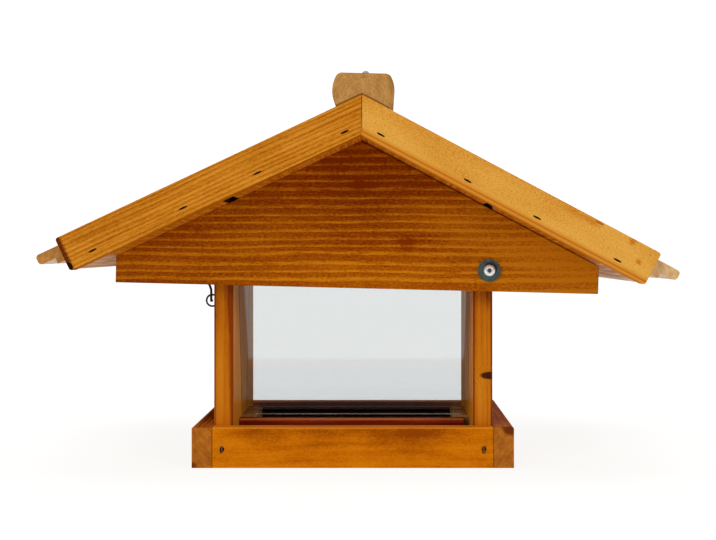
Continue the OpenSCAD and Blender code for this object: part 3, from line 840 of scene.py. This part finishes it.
for name, face_y, heart, seed in (
    ("bargeboard_front_right", BARGE_FRONT, (10, 90), 20.6),
    ("bargeboard_back_right", -BARGE_FRONT, (-12, 80), 22.4),
):
    lower_edge, _ = extent(name, SQUARE_RIGHT)
    barge_finish = stained_softwood(
        name + "_stain", name, DOWN_RIGHT, SQUARE_RIGHT, heart=heart, ring=8.0,
        tones=RIGHT_TONES, cut=RIGHT_ENDS,
        pale_share=0.4, contrast=0.16, speckle=0.65, speck=(2.0, 1.1), streaks=0.1,
        clouds=0.5, sway=8, seed=seed, edges=(-0.1, 0.0),
        bands=[
            MITRE_BAND,
            (SQUARE_RIGHT, lower_edge, LOWER_BAND_W, 0.75, LOWER_BAND),
            (SQUARE_RIGHT, lower_edge + LOWER_LINE_UP, SEAM_W, 0.6, LOWER_LINE),
        ],
        bare=(DOWN, RIGHT_UNDER, 0.7), dark_spots=staple_scars(face_y, 1), ragged=0.2, shine=0.02,
        knot_tone=CURLY_KNOT, knots=[((209, face_y, 219.8), (5, 1.3, 9))],
        pools_and_shading=[
            ((204, face_y, 221), (12, 6, 9), 0.4), ((237, face_y, 204), (4.5, 4.5, 9), 0.6),
            ((242, face_y, 187), (4.5, 4, 9), 0.65), ((190, face_y, 228), (16, 5, 9), 0.2),
            ((222, face_y, 205), (60, 22, 9), -0.3),
        ],
    )
    dress(name, "roof", barge_finish, BARGE_RUBBED, BARGE_CORNERS)
clad("bargeboard_staples", staple_finish)


# ---- Roof planks ----
# Tongued and grooved planks, two to a slope, running from gable to gable. Their weather side
# is stained like the rest, and their underside and bare tongues are pale.

PLANK_TONES = (colour(214, 134, 40), colour(178, 98, 22), colour(122, 56, 10))
PLANK_ENDS_LEFT = (colour(160, 104, 44), colour(212, 150, 78))
PLANK_ENDS_RIGHT = (colour(196, 148, 92), colour(240, 202, 146))
PLANK_UNDER = (colour(232, 146, 40), colour(186, 98, 12))
# The underside turns lighter beyond the gables: painted light on the open eaves.
PLANK_EAVES_LIT = (204, 224, (colour(244, 196, 142), colour(190, 126, 78)))
PLANK_TONGUE = (238, 248, (colour(255, 240, 214), colour(240, 208, 170)))
# The V bevels of the grooves: painted shade deep in the joints, and on the lower right plank a
# lighter tone, painted light on the bevel that the light reaches.
PLANK_GROOVE_SHADE = colour(52, 24, 8)
PLANK_GROOVE_LIT = colour(226, 150, 90)
for name, down, square, ends, groove, seed in (
    ("roof_plank_upper_left", DOWN_LEFT, SQUARE_LEFT, PLANK_ENDS_LEFT, PLANK_GROOVE_SHADE, 24.1),
    ("roof_plank_lower_left", DOWN_LEFT, SQUARE_LEFT, PLANK_ENDS_LEFT, PLANK_GROOVE_SHADE, 25.7),
    ("roof_plank_upper_right", DOWN_RIGHT, SQUARE_RIGHT, PLANK_ENDS_RIGHT, PLANK_GROOVE_SHADE, 27.3),
    ("roof_plank_lower_right", DOWN_RIGHT, SQUARE_RIGHT, PLANK_ENDS_RIGHT, PLANK_GROOVE_LIT, 28.8),
):
    # The width runs up or down the slope, so that the third axis points out of the roof.
    out = Vector(DEEP).cross(Vector(down))
    width = Vector(down) if out.dot(Vector(square)) > 0 else -Vector(down)
    upper_edge, _ = extent(name, down)
    plank_finish = stained_softwood(
        name + "_stain", name, DEEP, width, heart=(20 * math.sin(seed), -50), ring=6.0,
        tones=PLANK_TONES, cut=ends, groove=groove,
        bands=[(down, upper_edge, SEAM_W, 0.7, TORN_WOOD_AND_SHADE)] if "lower" in name else (),
        bare=(DOWN, PLANK_UNDER, 0.7), paler_and_lit=[PLANK_EAVES_LIT, PLANK_TONGUE],
        pale_share=0.3, contrast=0.35, speckle=0.22, streaks=0.2, clouds=0.3,
        sway=8, seed=seed, shine=0.12, roughness=0.65,
    )
    dress(name, "roof", plank_finish)


# ---- Ridge log ----
# A round of pale softwood planed flat on top, with a V sawn underneath that sits astride the
# ridge. Its ends are sawn and sanded. A big screw eye in it is for hanging the house up.

LOG_RUBBED = 1.5 * MM
LOG_TONES = (colour(206, 158, 92), colour(184, 130, 64), colour(104, 54, 16))
LOG_ENDS = (colour(148, 98, 42), colour(204, 154, 88))
log_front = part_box("ridge_log")[0].y / MM
log_finish = stained_softwood(
    "ridge_log_wood", "ridge_log", DEEP, LEVEL, heart=(3, 5), ring=3.2,
    tones=LOG_TONES, cut=LOG_ENDS,
    pale_share=0.35, contrast=0.25, speckle=0.2, streaks=0.2, clouds=0.3, end_rings=0.12,
    seed=30.5, rim=0.9, pools_and_shading=[((36, log_front, 346), (30, 12, 22), 0.35)],
    # A line of painted shade where the log sits on the upper planks.
    seat_shade=[
        (SQUARE_LEFT, extent("roof_plank_upper_left", SQUARE_LEFT)[1]),
        (SQUARE_RIGHT, extent("roof_plank_upper_right", SQUARE_RIGHT)[1]),
    ],
)
dress("ridge_log", "roof", log_finish, rubbed=LOG_RUBBED)
clad("hanging_eye", zinc)


# ---- Latch ----
# A screw eye in the left wall, another in the roof above it, and a browned wire hook that
# hangs from the upper one by its bent loop.

hook_finish = plated_metal(
    "browned_wire", colour(58, 36, 28), colour(12, 7, 6), roughness=0.5, metallic=0.3
)
eye_finish = plated_metal(
    "dulled_wire", colour(84, 86, 84), colour(14, 14, 12), roughness=0.32, metallic=0.6
)
clad("latch_eye", eye_finish)
clad("hook_eye", eye_finish)
clad("latch_hook", hook_finish)
